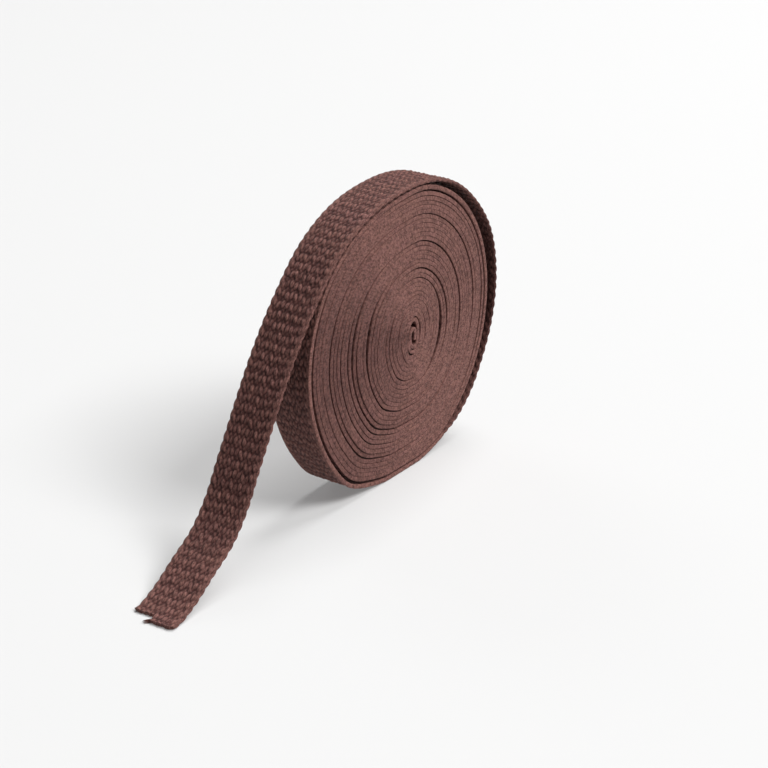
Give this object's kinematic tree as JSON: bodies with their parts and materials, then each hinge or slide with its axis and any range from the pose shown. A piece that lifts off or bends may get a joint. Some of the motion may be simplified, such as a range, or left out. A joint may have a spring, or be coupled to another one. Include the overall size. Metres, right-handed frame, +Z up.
{
  "type": "roll of roller shutter strap",
  "caption": "Woven roller shutter strap wound into a flat roll that stands on its edge, with the last turn lifted and the free end sloping down to the surface.",
  "frame": {"origin": "on the surface it stands on, under the middle of the whole part", "axes": "+Z up, the roll's axis along Y with its open face toward -Y, the free end toward -X"},
  "size_m": [0.1526, 0.019, 0.0864],
  "materials": {
    "woven_strap": "matt ribbed polyester weave, mauve brown, with beaded edges"
  },
  "bodies": {
    "root": {"wound_roll": "woven_strap", "loose_end": "woven_strap"}
  },
  "joints": []
}
